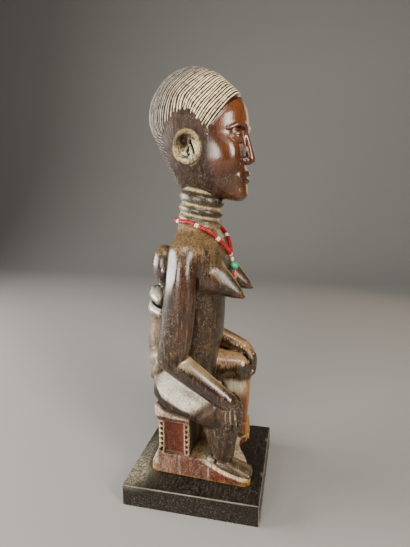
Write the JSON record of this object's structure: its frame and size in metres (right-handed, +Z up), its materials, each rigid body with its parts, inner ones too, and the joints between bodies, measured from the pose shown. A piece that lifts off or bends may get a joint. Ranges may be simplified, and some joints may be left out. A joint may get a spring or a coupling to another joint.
{
  "type": "seated mother and child figure",
  "caption": "Carved wooden figure of a seated mother carrying a child on her back, with a loose bead necklace, on a black wooden plinth.",
  "frame": {"origin": "centre of the plinth's underside", "axes": "+Z up; the mother faces -Y, with a small turn to her right, and her left is +X"},
  "size_m": [0.125, 0.125, 0.3886],
  "materials": {
    "plinth_wood": "black, satin top with fine grain, mottled sides",
    "carved_wood": "dark polished wood with worn, dusty and reddish places",
    "red_beads": "smooth coral red discs",
    "white_beads": "off-white, slightly worn",
    "pale_bead": "pale yellow green",
    "turquoise_bead": "turquoise green, smooth",
    "coral_bead": "orange red, smooth"
  },
  "bodies": {
    "root": {"display_plinth": "plinth_wood", "mother_and_child_figure": "carved_wood", "red_disc_beads_1": "red_beads", "red_disc_beads_2": "red_beads", "red_disc_beads_3": "red_beads", "red_disc_beads_4": "red_beads", "red_disc_beads_5": "red_beads", "red_disc_beads_6": "red_beads", "red_disc_beads_7": "red_beads", "red_disc_beads_8": "red_beads", "white_bead_pair_1": "white_beads", "white_bead_pair_2": "white_beads", "white_bead_pair_3": "white_beads", "white_bead_pair_4": "white_beads", "white_bead_pair_5": "white_beads", "white_bead_pair_6": "white_beads", "white_bead_pair_7": "white_beads", "white_bead_front": "white_beads", "pale_pendant_bead": "pale_bead", "turquoise_pendant_bead": "turquoise_bead", "coral_pendant_drop": "coral_bead"}
  },
  "joints": []
}
